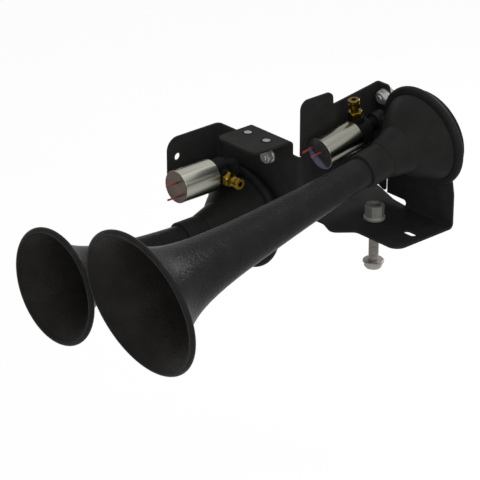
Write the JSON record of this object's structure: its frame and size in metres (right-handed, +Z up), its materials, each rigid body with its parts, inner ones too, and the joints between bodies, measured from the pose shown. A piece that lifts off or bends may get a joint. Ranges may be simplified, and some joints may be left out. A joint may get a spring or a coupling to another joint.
{
  "type": "car air horn",
  "caption": "Electric twin-trumpet car air horn: a long and a short flared trumpet with solenoid valves and diaphragm chambers on one folded sheet bracket",
  "frame": {"origin": "centre of the mounting bolt on the seating underside of the bracket's foot", "axes": "+Z up, away from the surface it is bolted to; the bells face -Y; the long trumpet is on the +X side"},
  "size_m": [0.2791, 0.4243, 0.2175],
  "materials": {
    "trumpet_paint": "satin black paint",
    "collar_paint": "satin black paint",
    "housing_paint": "satin black paint on a casting",
    "cover_paint": "satin black paint on a casting",
    "ring_paint": "satin black paint",
    "bracket_paint": "fine black powder coat",
    "gasket_rubber": "matte",
    "seal_rubber": "matte",
    "diaphragm_steel": "rolled sheet",
    "screw_steel": "zinc plated",
    "pipe_black": "satin black",
    "valve_black": "moulded black",
    "fitting_brass": "turned, dull",
    "can_steel": "polished stainless steel",
    "core_steel": "turned",
    "guide_steel": "drawn",
    "spring_steel": "drawn wire",
    "spool_plastic": "moulded",
    "winding_copper": "enamelled copper wire",
    "lead_red": "red wire insulation",
    "nut_zinc": "bright zinc plate",
    "bolt_zinc": "bright zinc plate",
    "mount_nut_zinc": "dull zinc plate",
    "mount_bolt_zinc": "zinc plate"
  },
  "bodies": {
    "horn": {"long_trumpet": "trumpet_paint", "long_tube_collar": "collar_paint", "long_front_housing": "housing_paint", "long_front_gasket": "gasket_rubber", "long_diaphragm": "diaphragm_steel", "long_rear_gasket": "gasket_rubber", "long_rear_cover": "cover_paint", "long_clamp_ring": "ring_paint", "long_cover_screws": "screw_steel", "long_outlet_pipe": "pipe_black", "long_valve_body": "valve_black", "long_inlet_fitting": "fitting_brass", "long_solenoid_can": "can_steel", "long_end_plate": "core_steel", "long_coil_spool": "spool_plastic", "long_coil_winding": "winding_copper", "long_guide_tube": "guide_steel", "long_pole_piece": "core_steel", "long_return_spring": "spring_steel", "long_leads": "lead_red", "short_trumpet": "trumpet_paint", "short_tube_collar": "collar_paint", "short_front_housing": "housing_paint", "short_front_gasket": "gasket_rubber", "short_diaphragm": "diaphragm_steel", "short_rear_gasket": "gasket_rubber", "short_rear_cover": "cover_paint", "short_clamp_ring": "ring_paint", "short_cover_screws": "screw_steel", "short_outlet_pipe": "pipe_black", "short_valve_body": "valve_black", "short_inlet_fitting": "fitting_brass", "short_solenoid_can": "can_steel", "short_end_plate": "core_steel", "short_coil_spool": "spool_plastic", "short_coil_winding": "winding_copper", "short_guide_tube": "guide_steel", "short_pole_piece": "core_steel", "short_return_spring": "spring_steel", "short_leads": "lead_red", "bracket": "bracket_paint", "bracket_nuts": "nut_zinc", "bracket_bolts": "bolt_zinc", "mounting_nut": "mount_nut_zinc", "mounting_bolt": "mount_bolt_zinc"},
    "long_valve_plunger": {"long_plunger": "core_steel", "long_plunger_seal": "seal_rubber"},
    "short_valve_plunger": {"short_plunger": "core_steel", "short_plunger_seal": "seal_rubber"}
  },
  "joints": [
    {"name": "long_valve_slide", "type": "slide", "parent": "horn", "child": "long_valve_plunger", "axis": [0, -0.9848, -0.1736], "range_m": [0, 0.002], "stiffness_N_per_m": 500, "springref_m": -0.002, "deforming": ["long_return_spring"]},
    {"name": "short_valve_slide", "type": "slide", "parent": "horn", "child": "short_valve_plunger", "axis": [0, -1, 0], "range_m": [0, 0.002], "stiffness_N_per_m": 500, "springref_m": -0.002, "deforming": ["short_return_spring"]}
  ]
}
